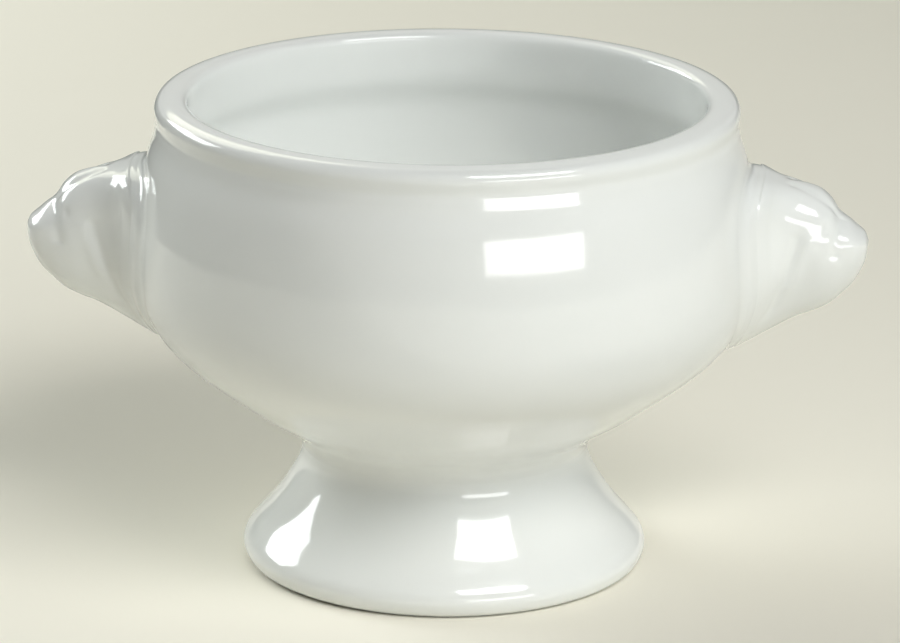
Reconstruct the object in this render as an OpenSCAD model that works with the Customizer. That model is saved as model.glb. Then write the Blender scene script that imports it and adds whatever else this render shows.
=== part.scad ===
// French onion soup crock: a footed white porcelain bowl with a lion's head on each side.
// The axis of the bowl is Z, the table is z = 0, and the two heads look out along +X and -X.
// All lengths are in millimetres.

/* [Bowl] */
// Height from the table to the top of the rim
overall_h = 94; // [86:0.5:110]
// Largest radius of the belly
belly_r = 60.8; // [58:0.2:68]
// Thickness of the wall at the belly
belly_wall_t = 5.2; // [3.5:0.1:7]
// Thickness of the floor over the foot
floor_t = 5.6; // [4:0.1:8]

/* [Rim, neck and shoulder] */
// How far the rolled rim's widest radius lies inside the belly's
rim_inset = 3.95; // [3:0.05:5]
// Thickness of the rolled rim
rim_t = 6.4; // [5:0.1:8]
// Height of the rolled rim, from its widest place to the top
rim_roll_h = 3.3; // [2.6:0.1:4]
// How far the neck under the rim draws in from it
neck_inset = 0.33; // [0.1:0.01:0.8]
// Height of the neck's narrowest place below the top
neck_drop = 4.7; // [4.3:0.1:5.5]
// How far the shoulder, where the belly ends, lies inside the belly's largest radius
shoulder_inset = 2.38; // [1.8:0.02:3]
// Height of the shoulder below the top
shoulder_drop = 12.2; // [11:0.1:13.5]

/* [Foot] */
// Height of the foot, from the table to its joint with the bowl
foot_h = 23.2; // [18:0.2:28]
// Largest radius of the flared foot
foot_r = 39.85; // [36:0.25:46]
// Radius of the waist, where the foot meets the bowl
waist_r = 28.2; // [26:0.2:31]
// Thickness of the foot's wall at the waist
foot_wall_t = 5.4; // [4:0.1:7]
// How far the standing ring's outer edge lies inside the largest radius
ring_inset = 2.4; // [1.5:0.1:3.5]
// Width of the flat, unglazed standing ring
ring_w = 5.8; // [4:0.1:8]

/* [Lion heads] */
// How far each nose tip stands out beyond the belly
nose_out = 21.5; // [17:0.1:28]
// Width of the mane where it meets the bowl
mane_w = 37.6; // [32:0.4:42]
// How far the mane's top lies below the shoulder
head_drop = 1.7; // [1:0.1:3]
// Unit height of the mane's and the face's relief
relief_h = 1; // [0.4:0.05:1.4]

/* [Luting slip] */
// Thickness of the slip in each joint
slip_t = 0.4; // [0.2:0.05:0.8]
// Reach of the smoothed slip fillet over the wall around each head
fillet_reach = 2.4; // [1.6:0.1:3.6]

/* [Hidden] */

// Facets of the turned pieces' preview, chords to a span of each drawn curve, and the two grids of a head
turn_facets = 120;
profile_steps = 3;
head_steps = 2;
head_facets = 72;
back_rings = 6;
fillet_steps = 4;
// Running clearance between the slip under a head and the round wall that its flat facets follow
facet_clearance = 0.08;

// Heights and radii that follow from the sizes above
seat_z = foot_h + slip_t;
shoulder_z = overall_h - shoulder_drop;
neck_z = overall_h - neck_drop;
roll_z = overall_h - rim_roll_h;
rim_r = belly_r - rim_inset;
neck_r = rim_r - neck_inset;
shoulder_r = belly_r - shoulder_inset;
floor_z = seat_z + floor_t;
mouth_r = rim_r - rim_t;
inner_belly_r = belly_r - belly_wall_t;
ring_r = foot_r - ring_inset;
ring_inner_r = ring_r - ring_w;
foot_bore_r = waist_r - foot_wall_t;

// Each head's place: its mane starts below the shoulder, and it keeps to its share of the belly's height
mane_top_share = 0.235;
beard_share = 0.392;
mane_top_h = mane_top_share * (shoulder_z - seat_z);
beard_h = beard_share * (shoulder_z - seat_z);
nose_z = shoulder_z - head_drop - mane_top_h;
nose_reach = belly_r + nose_out;

// Belly outline from the waist up to the shoulder: shares of the swell from waist_r to belly_r, and of the height
belly_shares = [[0, 0], [0.008, 0.02], [0.029, 0.041], [0.055, 0.058], [0.088, 0.076], [0.129, 0.093], [0.176, 0.11],
                [0.276, 0.144], [0.371, 0.179], [0.453, 0.213], [0.656, 0.299], [0.849, 0.402], [0.966, 0.522],
                [1, 0.66], [0.989, 0.797], [0.974, 0.866], [0.953, 0.935]];
// Outline from the shoulder in to the neck: shares of the step between their radii, and of the rise
shoulder_shares = [[1, 0], [0.816, 0.16], [0.642, 0.293], [0.463, 0.427], [0.305, 0.56], [0.184, 0.693],
                   [0.09, 0.827], [0, 1]];
// Rim outline: shares of the rim's thickness in from rim_r, and of the roll's height above its widest place
rim_shares = [[0, 0.25], [0.02, 0.5], [0.1, 0.75], [0.25, 0.91], [0.45, 0.98], [0.66, 1], [0.86, 0.93], [0.97, 0.74],
              [1, 0.45]];
// Inside outline from the mouth down to the floor: shares of the step from mouth_r out to the inner belly,
// and of the depth below the rim's widest place. The last points, below the belly, are shares of the inner belly's radius.
throat_shares = [[0.04, 0.02], [0.14, 0.08], [0.28, 0.125], [0.46, 0.155], [0.66, 0.19], [0.84, 0.255], [0.97, 0.35]];
basin_shares = [[1, 0.465], [0.975, 0.595], [0.91, 0.71], [0.81, 0.808], [0.684, 0.89], [0.504, 0.955], [0.27, 0.99],
                [0, 1]];
// Foot outline from the table up to the waist: shares of the flare from waist_r to foot_r, and of foot_h
foot_shares = [[0.93, 0.043], [0.98, 0.09], [1, 0.145], [0.954, 0.216], [0.879, 0.267], [0.784, 0.323],
               [0.67, 0.388], [0.561, 0.453], [0.464, 0.517], [0.346, 0.603], [0.238, 0.69], [0.138, 0.776],
               [0.056, 0.862], [0.01, 0.94], [0, 1]];
// Hollow of the foot from the joint down to the table: shares of the step from the bore to the ring, and of foot_h
hollow_shares = [[0, 1], [0.04, 0.86], [0.22, 0.64], [0.5, 0.4], [0.78, 0.18], [0.95, 0.05], [1, 0]];

// A smooth curve through four points, at t from the second to the third
function between(a, b, c, d, t) =
    (2 * b + (c - a) * t + (2 * a - 5 * b + 4 * c - d) * t * t + (3 * b - a - 3 * c + d) * t * t * t) / 2;

// A smooth curve through all the points of a list, with steps chords to a span
function smooth(points, steps) =
    let (last = len(points) - 1)
    [for (i = [0 : last - 1]) for (k = [0 : steps - 1])
        between(points[max(i - 1, 0)], points[i], points[i + 1], points[min(i + 2, last)], k / steps), points[last]];

// Control points of the outlines, as [radius, height]
belly_points = [for (s = belly_shares) [waist_r + (belly_r - waist_r) * s[0], seat_z + (shoulder_z - seat_z) * s[1]]];
shoulder_points = [for (s = shoulder_shares)
    [neck_r + (shoulder_r - neck_r) * s[0], shoulder_z + (neck_z - shoulder_z) * s[1]]];
rim_points = [for (s = rim_shares) [rim_r - rim_t * s[0], roll_z + rim_roll_h * s[1]]];
inner_depth = roll_z - floor_z;
throat_points = [for (s = throat_shares) [mouth_r + (inner_belly_r - mouth_r) * s[0], roll_z - inner_depth * s[1]]];
basin_points = [for (s = basin_shares) [inner_belly_r * s[0], roll_z - inner_depth * s[1]]];

// The outside wall, from the joint with the foot up to the rim's widest point, and its radius at a height
wall_outline = smooth(concat(belly_points, shoulder_points, [rim_points[0]]), profile_steps);
wall_lookup = [for (p = wall_outline) [p[1], p[0]]];
function wall_r(z) = lookup(z, wall_lookup);

bowl_outline = concat([[0, seat_z]], smooth(concat(belly_points, shoulder_points, rim_points, throat_points,
                                                   basin_points), profile_steps));
foot_points = [for (s = foot_shares) [waist_r + (foot_r - waist_r) * s[0], foot_h * s[1]]];
hollow_points = [for (s = hollow_shares) [foot_bore_r + (ring_inner_r - foot_bore_r) * s[0], foot_h * s[1]]];
foot_outline = concat(smooth(concat([[ring_r, 0]], foot_points), profile_steps), smooth(hollow_points, profile_steps));

// Lion head: stations from the wall (0) to the nose tip (1), each with its top as a share of mane_top_h, its underside
// as a share of beard_h, its width as a share of mane_w, and the squareness of its top, where 2 is an ellipse
station_shares = [
    [0, 0.95, 0.985, 1, 3], [0.05, 0.957, 0.976, 0.9, 3.2], [0.1, 0.95, 0.958, 0.79, 3.6],
    [0.135, 0.94, 0.942, 0.74, 4], [0.16, 0.924, 0.925, 0.705, 4], [0.2, 0.9, 0.903, 0.64, 3.8],
    [0.28, 0.867, 0.846, 0.545, 3.3], [0.36, 0.853, 0.79, 0.495, 2.9], [0.45, 0.822, 0.724, 0.47, 2.6],
    [0.54, 0.775, 0.667, 0.46, 2.4], [0.61, 0.716, 0.636, 0.45, 2.2], [0.69, 0.59, 0.592, 0.43, 2.1],
    [0.76, 0.418, 0.539, 0.405, 2.1], [0.84, 0.31, 0.447, 0.36, 2.1], [0.9, 0.222, 0.368, 0.31, 2.1],
    [0.95, 0.155, 0.26, 0.24, 2.1], [0.98, 0.1, 0.17, 0.165, 2], [1, 0, 0, 0, 2]];
head_stations = smooth(station_shares, head_steps);

// Soft forms, the same on both sides of a head: station, degrees from the top, reach in stations, reach in degrees,
// and height as a share of relief_h
form_shares = [
    [0.65, 60, 0.03, 8, -0.25],
    [0.58, 98, 0.1, 24, 0.2],
    [0.9, 100, 0.07, 34, 0.3]];

// Creases and ridges, the same on both sides: height as a share of relief_h, half-width in stations, then the line
// as stations and degrees from the top
line_shares = [
    [-0.4, 0.054, [[0.36, 12], [0.5, 18.5], [0.6, 22.5], [0.69, 25], [0.745, 31], [0.757, 45], [0.752, 62],
                   [0.738, 80], [0.715, 98]]],
    [0.2, 0.1, [[0.4, 54], [0.5, 51], [0.6, 50]]],
    [-0.4, 0.054, [[0.44, 76], [0.415, 88], [0.385, 99], [0.355, 110], [0.338, 120], [0.315, 129], [0.298, 139],
                   [0.285, 147]]],
    [0.3, 0.054, [[0.5, 78], [0.475, 90], [0.45, 101], [0.42, 112], [0.4, 122], [0.375, 131]]]];
// How far one degree of turn counts against one station, and the stations over which the relief rises from the wall
degree_share = 0.0083;
relief_ramp = 0.04;

function total(list, i = 0) = i == len(list) ? 0 : list[i] + total(list, i + 1);

// A soft form's height at a place given by its station and degrees
function form_height(f, out, degrees) = f[4] * exp(-pow((out - f[0]) / f[2], 2) - pow((degrees - f[1]) / f[3], 2));

// The gap from a place to a line, in stations
function segment_gap(p, a, b) =
    let (along = max(0, min(1, (p - a) * (b - a) / ((b - a) * (b - a)))))
    norm(p - a - along * (b - a));
function line_gap(p, line) =
    min([for (i = [1 : len(line) - 1]) segment_gap(p, [line[i - 1][0], line[i - 1][1] * degree_share],
                                                   [line[i][0], line[i][1] * degree_share])]);
function line_height(l, out, degrees) = l[0] * exp(-pow(line_gap([out, degrees * degree_share], l[2]) / l[1], 2));

// How far the relief stands out of a head's plain shape
function relief(out, degrees) =
    relief_h * min(1, out / relief_ramp)
    * (total([for (f = form_shares) form_height(f, out, degrees)])
       + total([for (l = line_shares) line_height(l, out, degrees)]));

// The wall that a head is luted to: the distance out along X at a place on the wall, clear of it by gap
function wall_x(y, z, gap) = sqrt(pow(wall_r(z) + gap, 2) - y * y);

// A head's cross-section at angle a from its top, as [side, up], for a station
function section(st, a) =
    let (half = mane_w / 2 * st[3], upper = cos(a) > 0, high = upper ? mane_top_h * st[1] : beard_h * st[2],
         power = upper ? st[4] : 2)
    half == 0 ? [0, 0] :
    pow(pow(abs(sin(a)) / half, power) + pow(abs(cos(a)) / high, power), -1 / power) * [sin(a), cos(a)];

// A point of the plain head before its forms, and the point inside it that it swells away from
function plain_point(st, a) =
    let (side_up = section(st, a), base = section(head_stations[0], a),
         seat_x = wall_x(base[0], nose_z + base[1], slip_t))
    [seat_x + (nose_reach - seat_x) * st[0], side_up[0], nose_z + side_up[1]];
core_reach_share = 0.25;
function core_point(st) =
    [belly_r + (nose_reach - belly_r) * (st[0] - core_reach_share), 0,
     nose_z + (mane_top_h * st[1] - beard_h * st[2]) / 2];

// A point of the finished head
function head_point(st, a) =
    let (p = plain_point(st, a), away = p - core_point(st))
    p + away / norm(away) * relief(st[0], min(a, 360 - a));

head_angles = [for (i = [0 : head_facets - 1]) i * 360 / head_facets];
function head_ring(i) = [for (a = head_angles) head_point(head_stations[i], a)];

// A ring on the wall, drawn in to a share of the head's outline
function seat_ring(share, gap) =
    [for (a = head_angles) let (s = section(head_stations[0], a) * share)
        [wall_x(s[0], nose_z + s[1], gap), s[0], nose_z + s[1]]];

// A ring on the wall outside the outline, at a share of the fillet's reach: 1 is the toe, where it feathers out
function reach_ring(share) =
    [for (a = head_angles) let (s = section(head_stations[0], a), out = s + s / norm(s) * fillet_reach * share)
        [wall_x(out[0], nose_z + out[1], facet_clearance), out[0], nose_z + out[1]]];

// One ring of the hollow fillet between the toe on the wall and a ring of the head
function fillet_ring(toe, corner, top, t) =
    [for (i = [0 : head_facets - 1])
        toe[i] * (1 - t) * (1 - t) + corner[i] * 2 * t * (1 - t) + top[i] * t * t];

// A closed skin over rings of equal count, with a point at each end
module skin(first, rings, last) {
    n = head_facets;
    m = len(rings);
    end = 1 + m * n;
    polyhedron(
        points = concat([first], [for (r = rings) each r], [last]),
        faces = concat(
            [for (i = [0 : n - 1]) [0, 1 + (i + 1) % n, 1 + i]],
            [for (k = [0 : m - 2]) for (i = [0 : n - 1])
                let (a = 1 + k * n + i, b = 1 + k * n + (i + 1) % n) each [[a, b, b + n], [a, b + n, a + n]]],
            [for (i = [0 : n - 1]) [end, end - n + i, end - n + (i + 1) % n]]));
}

back_shares = [for (k = [1 : back_rings - 1]) k / back_rings];
fillet_top = head_steps;

// One head on +X, hollowed to the round of the wall behind
module lion_head() {
    middle = [wall_x(0, nose_z, slip_t), 0, nose_z];
    back = [for (s = back_shares) seat_ring(s, slip_t)];
    front = [for (i = [0 : len(head_stations) - 2]) head_ring(i)];
    tip = head_point(head_stations[len(head_stations) - 1], 0);
    skin(middle, concat(back, front), tip);
}

// The slip behind that head, smoothed into a fillet round it
module head_luting_slip() {
    back = [for (s = back_shares) seat_ring(s, slip_t)];
    sides = [for (i = [0 : fillet_top]) head_ring(i)];
    toe = reach_ring(1);
    foothold = [for (k = [fillet_steps - 1 : -1 : 1]) reach_ring(k / fillet_steps)];
    fillet = [for (k = [fillet_steps - 1 : -1 : 1])
        fillet_ring(toe, seat_ring(1, slip_t), sides[fillet_top], k / fillet_steps)];
    under = [for (k = [back_rings : -1 : 1]) seat_ring(k / back_rings, facet_clearance)];
    skin([wall_x(0, nose_z, slip_t), 0, nose_z], concat(back, sides, fillet, [toe], foothold, under),
         [wall_x(0, nose_z, facet_clearance), 0, nose_z]);
}

// Turned bowl with its rolled rim, neck and shoulder
module bowl() {
    color("whitesmoke") rotate_extrude($fn = turn_facets) polygon(bowl_outline);
}

// Hollow flared foot on its flat standing ring
module foot() {
    color("white") rotate_extrude($fn = turn_facets) polygon(foot_outline);
}

// Flat ring of slip between the foot and the bowl's turned base
module foot_luting_slip() {
    color("ivory") translate([0, 0, foot_h]) rotate_extrude($fn = turn_facets)
        translate([foot_bore_r, 0]) square([foot_wall_t, slip_t]);
}

module right_lion_head() {
    color("snow") lion_head();
}

// The same mould is used for both sides
module left_lion_head() {
    color("snow") rotate([0, 0, 180]) lion_head();
}

module right_head_luting_slip() {
    color("ivory") head_luting_slip();
}

module left_head_luting_slip() {
    color("ivory") rotate([0, 0, 180]) head_luting_slip();
}

bowl();
foot();
foot_luting_slip();
left_lion_head();
left_head_luting_slip();
right_lion_head();
right_head_luting_slip();
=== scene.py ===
"""Looks of a footed white porcelain soup crock with a lion's head on each side, built round its CAD model.

Everything is in metres, in the CAD model's frame: Z is the bowl's axis, z = 0 is the table, and the heads
look along X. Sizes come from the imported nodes' boxes. The outlines and the heads' forms repeat the shares of
the CAD source.
"""

import math

import bpy
import numpy as np
from mathutils import Matrix, Vector


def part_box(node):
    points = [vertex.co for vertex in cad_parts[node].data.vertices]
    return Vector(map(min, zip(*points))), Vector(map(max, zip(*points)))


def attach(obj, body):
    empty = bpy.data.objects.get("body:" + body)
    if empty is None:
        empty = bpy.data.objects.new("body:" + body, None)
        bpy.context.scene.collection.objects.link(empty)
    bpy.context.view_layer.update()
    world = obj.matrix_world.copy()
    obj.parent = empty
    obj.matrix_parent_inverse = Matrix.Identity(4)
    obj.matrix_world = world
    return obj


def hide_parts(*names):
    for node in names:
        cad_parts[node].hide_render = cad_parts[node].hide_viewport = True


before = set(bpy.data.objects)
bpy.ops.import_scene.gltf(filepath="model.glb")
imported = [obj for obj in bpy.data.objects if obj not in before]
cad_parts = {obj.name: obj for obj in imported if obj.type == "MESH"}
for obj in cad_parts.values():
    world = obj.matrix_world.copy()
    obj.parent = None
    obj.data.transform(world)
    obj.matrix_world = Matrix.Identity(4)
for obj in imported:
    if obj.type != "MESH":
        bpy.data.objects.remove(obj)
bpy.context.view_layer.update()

MM = 0.001
BODY = "root"

# Sizes read from the frame
bowl_low, bowl_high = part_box("bowl")
foot_low, foot_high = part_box("foot")
slip_low, slip_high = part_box("foot_luting_slip")
head_low, head_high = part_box("right_lion_head")
overall_h = bowl_high.z
belly_r = bowl_high.x
seat_z = bowl_low.z
foot_h = foot_high.z
foot_r = foot_high.x
waist_r = slip_high.x
slip_t = slip_high.z - slip_low.z
nose_reach = head_high.x

# Sizes of the rim, neck, shoulder, walls, ring and heads that a box doesn't give, as in the CAD source
rim_r = 56.85 * MM
rim_t = 6.4 * MM
rim_roll_h = 3.3 * MM
neck_inset = 0.33 * MM
neck_drop = 4.7 * MM
shoulder_r = 58.42 * MM
shoulder_drop = 12.2 * MM
belly_wall_t = 5.2 * MM
floor_t = 5.6 * MM
foot_wall_t = 5.4 * MM
ring_inset = 2.4 * MM
ring_w = 5.8 * MM
mane_w = 37.6 * MM
relief_h = 1.0 * MM
head_drop = 1.7 * MM
fillet_reach = 2.4 * MM
mane_top_share = 0.235
beard_share = 0.392

# Sizes that follow from those above
shoulder_z = overall_h - shoulder_drop
mane_top_h = mane_top_share * (shoulder_z - seat_z)
beard_h = beard_share * (shoulder_z - seat_z)
neck_z = overall_h - neck_drop
neck_r = rim_r - neck_inset
roll_z = overall_h - rim_roll_h
nose_z = shoulder_z - head_drop - mane_top_h
floor_z = seat_z + floor_t
mouth_r = rim_r - rim_t
inner_belly_r = belly_r - belly_wall_t
ring_r = foot_r - ring_inset
ring_inner_r = ring_r - ring_w
foot_bore_r = waist_r - foot_wall_t

# Outlines: shares of the radii and heights that they run between
BELLY_SHARES = [(0, 0), (0.008, 0.02), (0.029, 0.041), (0.055, 0.058), (0.088, 0.076), (0.129, 0.093),
                (0.176, 0.11), (0.276, 0.144), (0.371, 0.179), (0.453, 0.213), (0.656, 0.299), (0.849, 0.402),
                (0.966, 0.522), (1, 0.66), (0.989, 0.797), (0.974, 0.866), (0.953, 0.935)]
SHOULDER_SHARES = [(1, 0), (0.816, 0.16), (0.642, 0.293), (0.463, 0.427), (0.305, 0.56), (0.184, 0.693),
                   (0.09, 0.827), (0, 1)]
RIM_SHARES = [(0, 0.25), (0.02, 0.5), (0.1, 0.75), (0.25, 0.91), (0.45, 0.98), (0.66, 1), (0.86, 0.93),
              (0.97, 0.74), (1, 0.45)]
THROAT_SHARES = [(0.04, 0.02), (0.14, 0.08), (0.28, 0.125), (0.46, 0.155), (0.66, 0.19), (0.84, 0.255),
                 (0.97, 0.35)]
BASIN_SHARES = [(1, 0.465), (0.975, 0.595), (0.91, 0.71), (0.81, 0.808), (0.684, 0.89), (0.504, 0.955),
                (0.27, 0.99), (0, 1)]
FOOT_SHARES = [(0.93, 0.043), (0.98, 0.09), (1, 0.145), (0.954, 0.216), (0.879, 0.267), (0.784, 0.323),
               (0.67, 0.388), (0.561, 0.453), (0.464, 0.517), (0.346, 0.603), (0.238, 0.69), (0.138, 0.776),
               (0.056, 0.862), (0.01, 0.94), (0, 1)]
HOLLOW_SHARES = [(0, 1), (0.04, 0.86), (0.22, 0.64), (0.5, 0.4), (0.78, 0.18), (0.95, 0.05), (1, 0)]

# Stations of a lion's head from the wall (0) to the nose tip (1). Each has its top, underside and width as
# shares of mane_top_h, beard_h and mane_w, then the squareness of its top, where 2 is an ellipse.
STATION_SHARES = [
    (0, 0.95, 0.985, 1, 3), (0.05, 0.957, 0.976, 0.9, 3.2), (0.1, 0.95, 0.958, 0.79, 3.6),
    (0.135, 0.94, 0.942, 0.74, 4), (0.16, 0.924, 0.925, 0.705, 4), (0.2, 0.9, 0.903, 0.64, 3.8),
    (0.28, 0.867, 0.846, 0.545, 3.3), (0.36, 0.853, 0.79, 0.495, 2.9), (0.45, 0.822, 0.724, 0.47, 2.6),
    (0.54, 0.775, 0.667, 0.46, 2.4), (0.61, 0.716, 0.636, 0.45, 2.2), (0.69, 0.59, 0.592, 0.43, 2.1),
    (0.76, 0.418, 0.539, 0.405, 2.1), (0.84, 0.31, 0.447, 0.36, 2.1), (0.9, 0.222, 0.368, 0.31, 2.1),
    (0.95, 0.155, 0.26, 0.24, 2.1), (0.98, 0.1, 0.17, 0.165, 2), (1, 0, 0, 0, 2)]

# Soft forms of a head: station, degrees from the top, reach in stations and degrees, share of relief_h
FORM_SHARES = [
    (0.65, 60, 0.03, 8, -0.25),
    (0.58, 98, 0.1, 24, 0.2),
    (0.9, 100, 0.07, 34, 0.3)]

# Creases and ridges of a head: share of relief_h, half-width in mm, then the line as stations and degrees
# from the top, where a station counts as STATION_REACH and a degree as DEGREE_REACH millimetres
LINE_SHARES = [
    (-0.4, 1.3, [(0.36, 12), (0.5, 18.5), (0.6, 22.5), (0.69, 25), (0.745, 31), (0.757, 45), (0.752, 62),
                 (0.738, 80), (0.715, 98)]),
    (0.2, 2.4, [(0.4, 54), (0.5, 51), (0.6, 50)]),
    (-0.4, 1.3, [(0.44, 76), (0.415, 88), (0.385, 99), (0.355, 110), (0.338, 120), (0.315, 129),
                 (0.298, 139), (0.285, 147)]),
    (0.3, 1.3, [(0.5, 78), (0.475, 90), (0.45, 101), (0.42, 112), (0.4, 122), (0.375, 131)])]
STATION_REACH = 24.0
DEGREE_REACH = 0.2

# Stations over which the relief rises from the wall
SEAT_RAMP = 0.04
# The relief swells from a point on the head's middle line, this many stations nearer to the wall
CORE_REACH = 0.25

# Grids: steps round a turned piece, and along each span of its outline and of a head's stations
TURN_STEPS = 320
OUTLINE_STEPS = 9
STATION_STEPS = 24
# A head's rings, which crowd towards the nose, the steps round each, and the step at its side
HEAD_RINGS = 150
RING_CROWDING = 1.25
HEAD_STEPS = 288
SIDE_STEP = HEAD_STEPS // 4
# A fillet's rings, its clearance from the wall, and how far from the wall it meets the head
FILLET_RINGS = 12
FILLET_GAP = 0.02 * MM
FILLET_TOP = 1.4 * MM
# A point nearer to the axis than this is on it
AXIS_R = 0.001 * MM
# A curve's pace is this power of the distance between its points
CURVE_PACE = 0.75
# The least length that anything is divided by
TINY = 1e-12


def smooth_curve(points, per_span):
    """A natural cubic spline through all the points, paced by their distances, in any number of columns."""
    knots = np.array(points, float)
    gaps = np.maximum(np.linalg.norm(np.diff(knots, axis=0), axis=1), TINY) ** CURVE_PACE
    count = len(knots)
    system = np.zeros((count, count))
    right = np.zeros_like(knots)
    system[0, 0] = system[-1, -1] = 1
    for i in range(1, count - 1):
        before, after = gaps[i - 1], gaps[i]
        system[i, i - 1: i + 2] = before, 2 * (before + after), after
        right[i] = 6 * ((knots[i + 1] - knots[i]) / after - (knots[i] - knots[i - 1]) / before)
    bend = np.linalg.solve(system, right)
    rows = []
    for i, gap in enumerate(gaps):
        for k in range(per_span):
            t = k / per_span
            rest = 1 - t
            swing = (rest ** 3 - rest) * bend[i] + (t ** 3 - t) * bend[i + 1]
            rows.append(rest * knots[i] + t * knots[i + 1] + gap * gap / 6 * swing)
    rows.append(knots[-1])
    return np.array(rows)


def share_points(shares, start_r, reach_r, start_z, reach_z):
    """Outline points from shares: start plus a share of the reach, for the radius and the height."""
    return [(start_r + reach_r * r, start_z + reach_z * z) for r, z in shares]


def bowl_points():
    """Control points of the bowl's outline: outside from the foot up, rim, and inside down to the floor."""
    belly = share_points(BELLY_SHARES, waist_r, belly_r - waist_r, seat_z, shoulder_z - seat_z)
    shoulder = share_points(SHOULDER_SHARES, neck_r, shoulder_r - neck_r, shoulder_z, neck_z - shoulder_z)
    rim = share_points(RIM_SHARES, rim_r, -rim_t, roll_z, rim_roll_h)
    depth = roll_z - floor_z
    throat = share_points(THROAT_SHARES, mouth_r, inner_belly_r - mouth_r, roll_z, -depth)
    basin = share_points(BASIN_SHARES, 0, inner_belly_r, roll_z, -depth)
    return belly + shoulder, rim, throat + basin


outer_points, rim_points, inner_points = bowl_points()
wall_curve = smooth_curve(outer_points + rim_points[:1], OUTLINE_STEPS)


def wall_r(z):
    """Outside radius of the bowl at a height."""
    return np.interp(z, wall_curve[:, 1], wall_curve[:, 0])


def mesh_object(name, points, faces, normals=None):
    """A smooth-shaded mesh object from arrays, with its own normals where it meets another piece."""
    mesh = bpy.data.meshes.new(name)
    mesh.from_pydata([tuple(p) for p in points], [], [tuple(f) for f in faces])
    mesh.validate()
    mesh.shade_smooth()
    if normals is not None:
        mesh.normals_split_custom_set_from_vertices([tuple(n) for n in normals])
    made = bpy.data.objects.new(name, mesh)
    bpy.context.scene.collection.objects.link(made)
    return made


def turned(name, *outlines):
    """A turned piece from open outlines of (radius, height) rows, each shaded on its own."""
    angles = np.arange(TURN_STEPS) * 2 * math.pi / TURN_STEPS
    points, faces = [], []
    for outline in outlines:
        rings = []
        for r, z in outline:
            start = len(points)
            if r < AXIS_R:
                points.append((0, 0, z))
                rings.append(np.full(TURN_STEPS, start))
            else:
                points += list(zip(r * np.cos(angles), r * np.sin(angles), np.full(TURN_STEPS, z)))
                rings.append(start + np.arange(TURN_STEPS))
        for low, high in zip(rings[:-1], rings[1:]):
            corners = zip(low, np.roll(low, -1), np.roll(high, -1), high)
            faces += [tuple(dict.fromkeys(int(i) for i in face)) for face in corners]
    return mesh_object(name, points, faces)


def line_gap(out, angle, line):
    """Distance in mm over a head's surface to a line of stations and degrees."""
    places = np.stack([out * STATION_REACH + 0 * angle, angle * DEGREE_REACH], 1)
    corners = np.array(line) * (STATION_REACH, DEGREE_REACH)
    gaps = []
    for start, end in zip(corners[:-1], corners[1:]):
        step = end - start
        t = np.clip((places - start) @ step / (step @ step), 0, 1)
        gaps.append(np.linalg.norm(places - start - t[:, None] * step, axis=1))
    return np.min(gaps, 0)


def relief(out, angle):
    """How far a head's forms stand out of its plain shape, where angle is in degrees from the top."""
    forms = sum(height * np.exp(-((out - mid) / reach) ** 2 - ((angle - mid_angle) / angle_reach) ** 2)
                for mid, mid_angle, reach, angle_reach, height in FORM_SHARES)
    lines = sum(height * np.exp(-(line_gap(out, angle, line) / half_w) ** 2)
                for height, half_w, line in LINE_SHARES)
    return relief_h * (forms + lines) * min(1, out / SEAT_RAMP)


def wall_x(y, z, gap):
    """How far out along X the bowl's wall is at a place, clear of it by gap."""
    return np.sqrt((wall_r(z) + gap) ** 2 - y * y)


def section(top, under, width, square, angles):
    """Side and height from the nose tip of a head's cross-section, at angles from its top."""
    upper = np.cos(angles) > 0
    high = np.where(upper, mane_top_h * top, beard_h * under)
    power = np.where(upper, square, 2)
    half = mane_w / 2 * width
    if half == 0:
        return 0 * angles, 0 * angles
    across = (np.abs(np.sin(angles)) / half) ** power
    upright = (np.abs(np.cos(angles)) / high) ** power
    spread = (across + upright) ** (-1 / power)
    return spread * np.sin(angles), spread * np.cos(angles)


def head_angles():
    """Angles round a head from its top."""
    return np.arange(HEAD_STEPS) * 2 * math.pi / HEAD_STEPS


def head_grid():
    """The points of a finished head on +X: rings from the wall to the nose tip."""
    stations = smooth_curve(STATION_SHARES, STATION_STEPS)
    t = 1 - (1 - np.linspace(0, 1, HEAD_RINGS)) ** RING_CROWDING
    table = np.stack([np.interp(t, stations[:, 0], column) for column in stations.T], 1)
    angles = head_angles()
    base_side, base_up = section(*STATION_SHARES[0][1:], angles)
    seat = wall_x(base_side, nose_z + base_up, slip_t)
    degrees = np.degrees(np.minimum(angles, 2 * math.pi - angles))
    rings = []
    for out, top, under, width, square in table:
        side, up = section(top, under, width, square, angles)
        plain = np.stack([seat + (nose_reach - seat) * out, side, nose_z + up], 1)
        core = np.array([belly_r + (nose_reach - belly_r) * (out - CORE_REACH), 0,
                         nose_z + (mane_top_h * top - beard_h * under) / 2])
        away = plain - core
        away /= np.linalg.norm(away, axis=1)[:, None]
        height = relief(out, degrees)
        rings.append(plain + away * height[:, None])
    return np.array(rings)


def grid_normals(rings):
    """Unit normals of a closed-round grid of rings, pointing out of a head."""
    round_way = np.roll(rings, -1, 1) - np.roll(rings, 1, 1)
    along = np.gradient(rings, axis=0)
    normals = np.cross(along, round_way)
    length = np.linalg.norm(normals, axis=2)[..., None]
    normals = normals / np.maximum(length, TINY)
    normals[-1] = normals[-2].mean(0) / np.linalg.norm(normals[-2].mean(0))
    return normals


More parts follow.
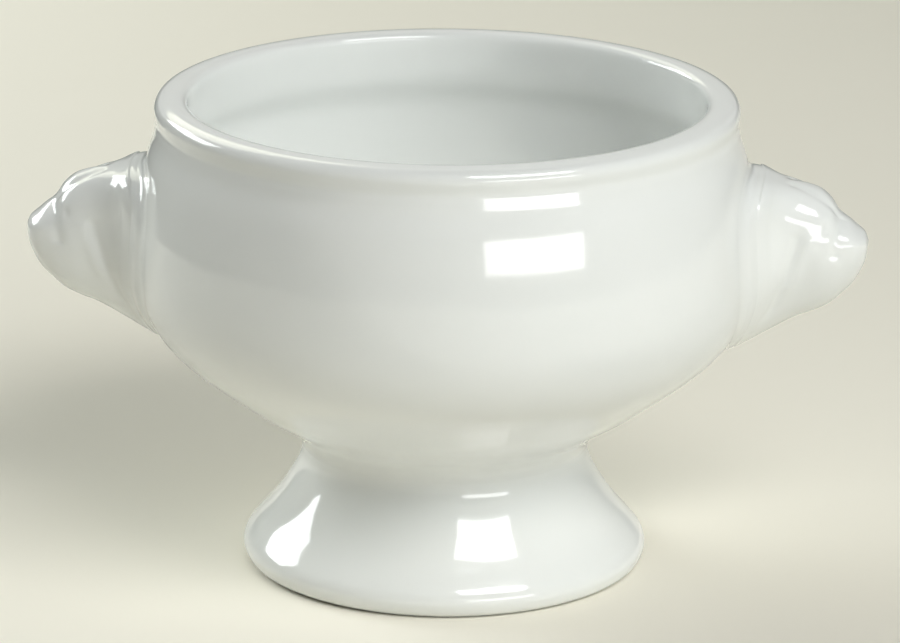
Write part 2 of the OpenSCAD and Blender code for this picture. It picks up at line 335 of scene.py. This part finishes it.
def head_pieces(name, turn):
    """A head and its slip fillet, as two meshes that meet smoothly. turn is 0 for +X and pi for -X."""
    rings = head_grid()
    base_side, base_up = section(*STATION_SHARES[0][1:], head_angles())
    spread = 1 + fillet_reach / np.hypot(base_side, base_up)
    toe_side, toe_up = base_side * spread, base_up * spread
    toe = np.stack([wall_x(toe_side, nose_z + toe_up, FILLET_GAP), toe_side, nose_z + toe_up], 1)
    corner = np.stack([wall_x(base_side, nose_z + base_up, FILLET_GAP), base_side, nose_z + base_up], 1)
    meet = next(i for i, r in enumerate(rings) if r[SIDE_STEP][0] - corner[SIDE_STEP][0] > FILLET_TOP)
    top = rings[meet]
    fillet = [toe * (1 - t) ** 2 + corner * 2 * t * (1 - t) + top * t * t
              for t in np.linspace(0, 1, FILLET_RINGS + 1)[:-1]]
    whole = np.concatenate([np.array(fillet), rings[meet:]])
    normals = grid_normals(whole)
    spin = np.array([[math.cos(turn), -math.sin(turn), 0], [math.sin(turn), math.cos(turn), 0], [0, 0, 1]])
    whole = whole @ spin.T
    normals = normals @ spin.T
    here = np.arange(HEAD_STEPS)
    after = (here + 1) % HEAD_STEPS

    def part(label, first, last):
        """The mesh between two of the rings."""
        points = whole[first: last + 1].reshape(-1, 3)
        own = normals[first: last + 1].reshape(-1, 3)
        faces = []
        for k in range(last - first):
            a, b = k * HEAD_STEPS, (k + 1) * HEAD_STEPS
            faces += list(zip(a + here, b + here, b + after, a + after))
        return mesh_object(label, points, faces, own)

    return part(name + "_head", FILLET_RINGS, len(whole) - 1), part(name + "_head_fillet", 0, FILLET_RINGS)


# Glaze: two tints and their noise, the roughness between two values and its noise, and a shallow wave
GLAZE_TINTS = ((0.855, 0.875, 0.855, 1), (0.875, 0.89, 0.87, 1))
GLAZE_TINT_NOISE = {"Scale": 60, "Detail": 2}
GLAZE_ROUGHNESS = {"To Min": 0.05, "To Max": 0.11}
GLAZE_ROUGHNESS_NOISE = {"Scale": 220, "Detail": 3}
GLAZE_WAVE = {"Strength": 0.35, "Distance": 0.06 * MM}
GLAZE_WAVE_NOISE = {"Scale": 120, "Detail": 1}
GLAZE_IOR = 1.52
# Grey specks in the glaze: one to a cell, which fades out over a share of the cell's size
SPECK_CELLS = {"Scale": 48}
SPECK_FADE = {"From Min": 0.008, "From Max": 0.016, "To Min": 0.5, "To Max": 0}
SPECK_COLOUR = (0.42, 0.42, 0.4, 1)
# Unglazed porcelain: a fine grain of two tints, which also bumps it
BISCUIT_TINTS = ((0.66, 0.63, 0.57, 1), (0.75, 0.72, 0.66, 1))
BISCUIT_GRAIN = {"Scale": 900}
BISCUIT_BUMP = {"Strength": 0.5, "Distance": 0.1 * MM}
BISCUIT_ROUGHNESS = 0.8
# The table's matte paper and the evenly lit wall behind it
TABLE_LOOK = {"Base Color": (0.89, 0.86, 0.765, 1), "Roughness": 0.75, "Specular IOR Level": 0.2}
WALL_LOOK = {"Base Color": (0, 0, 0, 1), "Emission Color": (0.56, 0.55, 0.48, 1), "Emission Strength": 1}


def set_inputs(node, values):
    """Sets a node's inputs by their names."""
    for label, value in values.items():
        node.inputs[label].default_value = value


class NewMaterial:
    """A new material with its nodes, links and shader."""

    def __init__(self, name, values):
        self.material = bpy.data.materials.new(name)
        self.material.use_nodes = True
        self.nodes = self.material.node_tree.nodes
        self.links = self.material.node_tree.links
        self.shader = self.nodes["Principled BSDF"]
        set_inputs(self.shader, values)

    def node(self, kind, values, output, **feeds):
        """Adds a node with its inputs set, feeds sockets into it, and returns its output."""
        made = self.nodes.new("ShaderNode" + kind)
        set_inputs(made, values)
        for label, socket in feeds.items():
            self.links.new(socket, made.inputs[label])
        return made.outputs[output]

    def mix(self, factor, first, second):
        """A colour that a socket mixes from two, of which the first is a constant or a socket too."""
        made = self.nodes.new("ShaderNodeMix")
        made.data_type = "RGBA"
        self.links.new(factor, made.inputs["Factor"])
        made.inputs["B"].default_value = second
        if isinstance(first, tuple):
            made.inputs["A"].default_value = first
        else:
            self.links.new(first, made.inputs["A"])
        return made.outputs["Result"]

    def feed(self, label, socket):
        """Feeds a socket into the shader."""
        self.links.new(socket, self.shader.inputs[label])


def glaze_material():
    """White porcelain glaze: cool white, glossy, slightly uneven, with rare grey specks."""
    made = NewMaterial("porcelain_glaze", {"IOR": GLAZE_IOR})
    place = made.node("TexCoord", {}, "Object")
    tint = made.mix(made.node("TexNoise", GLAZE_TINT_NOISE, "Fac", Vector=place), *GLAZE_TINTS)
    cell = made.node("TexVoronoi", SPECK_CELLS, "Distance", Vector=place)
    speck = made.node("MapRange", SPECK_FADE, "Result", Value=cell)
    made.feed("Base Color", made.mix(speck, tint, SPECK_COLOUR))
    unevenness = made.node("TexNoise", GLAZE_ROUGHNESS_NOISE, "Fac", Vector=place)
    made.feed("Roughness", made.node("MapRange", GLAZE_ROUGHNESS, "Result", Value=unevenness))
    wave = made.node("TexNoise", GLAZE_WAVE_NOISE, "Fac", Vector=place)
    made.feed("Normal", made.node("Bump", GLAZE_WAVE, "Normal", Height=wave))
    return made.material


def biscuit_material():
    """Unglazed fired porcelain of the standing ring."""
    made = NewMaterial("porcelain_biscuit", {"Roughness": BISCUIT_ROUGHNESS})
    grain = made.node("TexNoise", BISCUIT_GRAIN, "Fac")
    made.feed("Base Color", made.mix(grain, *BISCUIT_TINTS))
    made.feed("Normal", made.node("Bump", BISCUIT_BUMP, "Normal", Height=grain))
    return made.material


glaze = glaze_material()
biscuit = biscuit_material()


def dress(piece, material, slot, *nodes):
    """Gives a piece its material, rides it on the body, and hides the CAD nodes it stands for. Its slot is not
    used.
    """
    piece.data.materials.append(material)
    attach(piece, BODY)
    if nodes:
        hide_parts(*nodes)


# The bowl: the flat base on the foot, and the wall over the rim to the floor
base_outline = [(0, seat_z), (waist_r, seat_z)]
bowl_outline = smooth_curve(outer_points + rim_points + inner_points, OUTLINE_STEPS)
dress(turned("crock_bowl", base_outline, bowl_outline), glaze, "glaze", "bowl")

# The foot: its flared outside and its hollow, which meet the unglazed ring at the table
foot_points = [(ring_r, 0)] + share_points(FOOT_SHARES, waist_r, foot_r - waist_r, 0, foot_h)
foot_outline = smooth_curve(foot_points, OUTLINE_STEPS)
hollow_points = share_points(HOLLOW_SHARES, foot_bore_r, ring_inner_r - foot_bore_r, 0, foot_h)
hollow_outline = smooth_curve(hollow_points, OUTLINE_STEPS)
dress(turned("crock_foot", foot_outline, hollow_outline), glaze, "glaze", "foot")
dress(turned("standing_ring", [(ring_inner_r, 0), (ring_r, 0)]), biscuit, "biscuit")

# The joint between them
joint_outline = [(waist_r, foot_h), (waist_r, seat_z)]
joint_bore = [(foot_bore_r, seat_z), (foot_bore_r, foot_h)]
dress(turned("foot_joint", joint_outline, joint_bore), glaze, "biscuit", "foot_luting_slip")

# The heads, each with its fillet of slip
for side_name, turn in (("right", 0), ("left", math.pi)):
    head, fillet = head_pieces(side_name, turn)
    dress(head, glaze, "glaze", side_name + "_lion_head")
    dress(fillet, glaze, "glaze", side_name + "_head_luting_slip")

# Camera: the photograph's own, from the outline of the rim, bowl and foot
CAMERA_DISTANCE = 1.0
CAMERA_PITCH = math.radians(17.0)
CAMERA_TURN = math.radians(2.8)
CAMERA_ROLL = math.radians(0.44)
CAMERA_TARGET = Vector((0, 0, 0.047))
FRAME_W_PX = 900
FOCAL_PX = 5086
CENTRE_SHIFT_PX = (4.25, 4.7)
# In millimetres, as the lens is
SENSOR_W = 36


def look(turn, pitch):
    """The direction out from the crock, turned from the front towards +X and pitched above the table."""
    return Vector((math.sin(turn) * math.cos(pitch), -math.cos(turn) * math.cos(pitch), math.sin(pitch)))


camera_data = bpy.data.cameras.new("camera")
camera_data.sensor_width = SENSOR_W
camera_data.lens = FOCAL_PX / FRAME_W_PX * SENSOR_W
camera_data.shift_x = CENTRE_SHIFT_PX[0] / FRAME_W_PX
camera_data.shift_y = CENTRE_SHIFT_PX[1] / FRAME_W_PX
camera = bpy.data.objects.new("camera", camera_data)
bpy.context.scene.collection.objects.link(camera)
back = look(CAMERA_TURN, CAMERA_PITCH)
camera.location = CAMERA_TARGET + back * CAMERA_DISTANCE
aim = (-back).to_track_quat("-Z", "Y").to_matrix().to_4x4()
camera.rotation_euler = (aim @ Matrix.Rotation(CAMERA_ROLL, 4, "Z")).to_euler()
bpy.context.scene.camera = camera

# Whether glossy reflections show a light, and whether it lights diffuse surfaces
SHINE = (True, False)
SOFT = (False, True)
BOTH = (True, True)

# Softboxes, each facing the crock: name, degrees round from the camera, degrees up and metres away, width and
# height in metres, watts, colour, spin in degrees, and what it reaches
LIGHTS = [
    ("low_panel", 32, 7, 1.21, 0.8, 0.22, 4.1, (1, 1, 1), -2, SHINE),
    ("backdrop", 180, 32, 1.6, 2.4, 1.5, 5.6, (1, 1, 0.95), 0, SHINE),
    ("high_panel", 34, 46, 1.2, 0.71, 0.34, 10.9, (0.98, 1, 1), -10, SHINE),
    ("high_soft", 34, 46, 1.2, 0.71, 0.34, 6.7, (1, 0.97, 0.93), 0, SOFT),
    ("side_soft", 60, 22, 1.2, 0.8, 0.5, 3.8, (0.96, 1, 1), 0, SOFT),
    ("front_soft", 20, 36, 1.2, 0.8, 0.5, 3.2, (0.9, 0.97, 1), 0, SOFT),
    ("back_softbox", -125, 24, 1.2, 0.75, 0.36, 8.6, (0.96, 1, 1), 0, BOTH),
    ("back_high", -155, 35, 1.2, 0.6, 0.6, 2.1, (1, 1, 0.8), 0, BOTH)]
SKY = {"Color": (0.95, 0.95, 0.92, 1), "Strength": 0.02}


def softbox(name, turn, pitch, distance, width, height, watts, colour, spin, reach):
    """Adds a softbox light from its row of the table."""
    data = bpy.data.lights.new(name, "AREA")
    data.shape = "RECTANGLE"
    data.size, data.size_y = width, height
    data.energy = watts
    data.color = colour
    lamp = bpy.data.objects.new(name, data)
    bpy.context.scene.collection.objects.link(lamp)
    way = look(CAMERA_TURN + math.radians(turn), math.radians(pitch))
    lamp.location = CAMERA_TARGET + way * distance
    facing = way.to_track_quat("Z", "Y").to_matrix().to_4x4()
    lamp.rotation_euler = (facing @ Matrix.Rotation(math.radians(spin), 4, "Z")).to_euler()
    lamp.visible_camera = False
    lamp.visible_glossy, lamp.visible_diffuse = reach


for light in LIGHTS:
    softbox(*light)

world = bpy.data.worlds.new("studio")
world.use_nodes = True
set_inputs(world.node_tree.nodes["Background"], SKY)
bpy.context.scene.world = world

# Stage: a table, whose edge is cut to where its reflection in the bowl's wall ends
TABLE_CORNERS = [(-0.18, 1.2), (-0.18, 0.45), (-0.205, 0.27), (-0.29, 0.235), (-0.37, 0.175), (-0.43, 0.08),
                 (-0.47, -0.03), (-0.495, -0.15), (-0.48, -0.26), (-0.43, -0.39), (-0.32, -0.54),
                 (-0.14, -0.61), (0.04, -0.59), (0.2, -0.51), (0.34, -0.4), (0.5, -0.2), (0.6, 0.1),
                 (0.7, 1.2)]
TABLE_Z = -0.02 * MM
# The studio beyond the table, which only the camera sees: a floor just below it and a pale wall around
STUDIO_R = 3.5
STUDIO_H = 3
STUDIO_FLOOR_Z = -0.5 * MM

paper = NewMaterial("pale_table", TABLE_LOOK).material
table = mesh_object("table", [(x, y, TABLE_Z) for x, y in TABLE_CORNERS], [tuple(range(len(TABLE_CORNERS)))])
studio_floor = turned("studio_floor", [(0, STUDIO_FLOOR_Z), (STUDIO_R, STUDIO_FLOOR_Z)])
studio_wall = turned("studio_wall", [(STUDIO_R, -STUDIO_H), (STUDIO_R, STUDIO_H), (0, STUDIO_H)])
table.data.materials.append(paper)
studio_floor.data.materials.append(paper)
studio_wall.data.materials.append(NewMaterial("pale_wall", WALL_LOOK).material)
for piece in (studio_floor, studio_wall):
    piece.visible_glossy = False
    piece.visible_diffuse = False
    piece.visible_shadow = False

bpy.context.scene.view_settings.view_transform = "Standard"
bpy.context.scene.view_settings.look = "None"
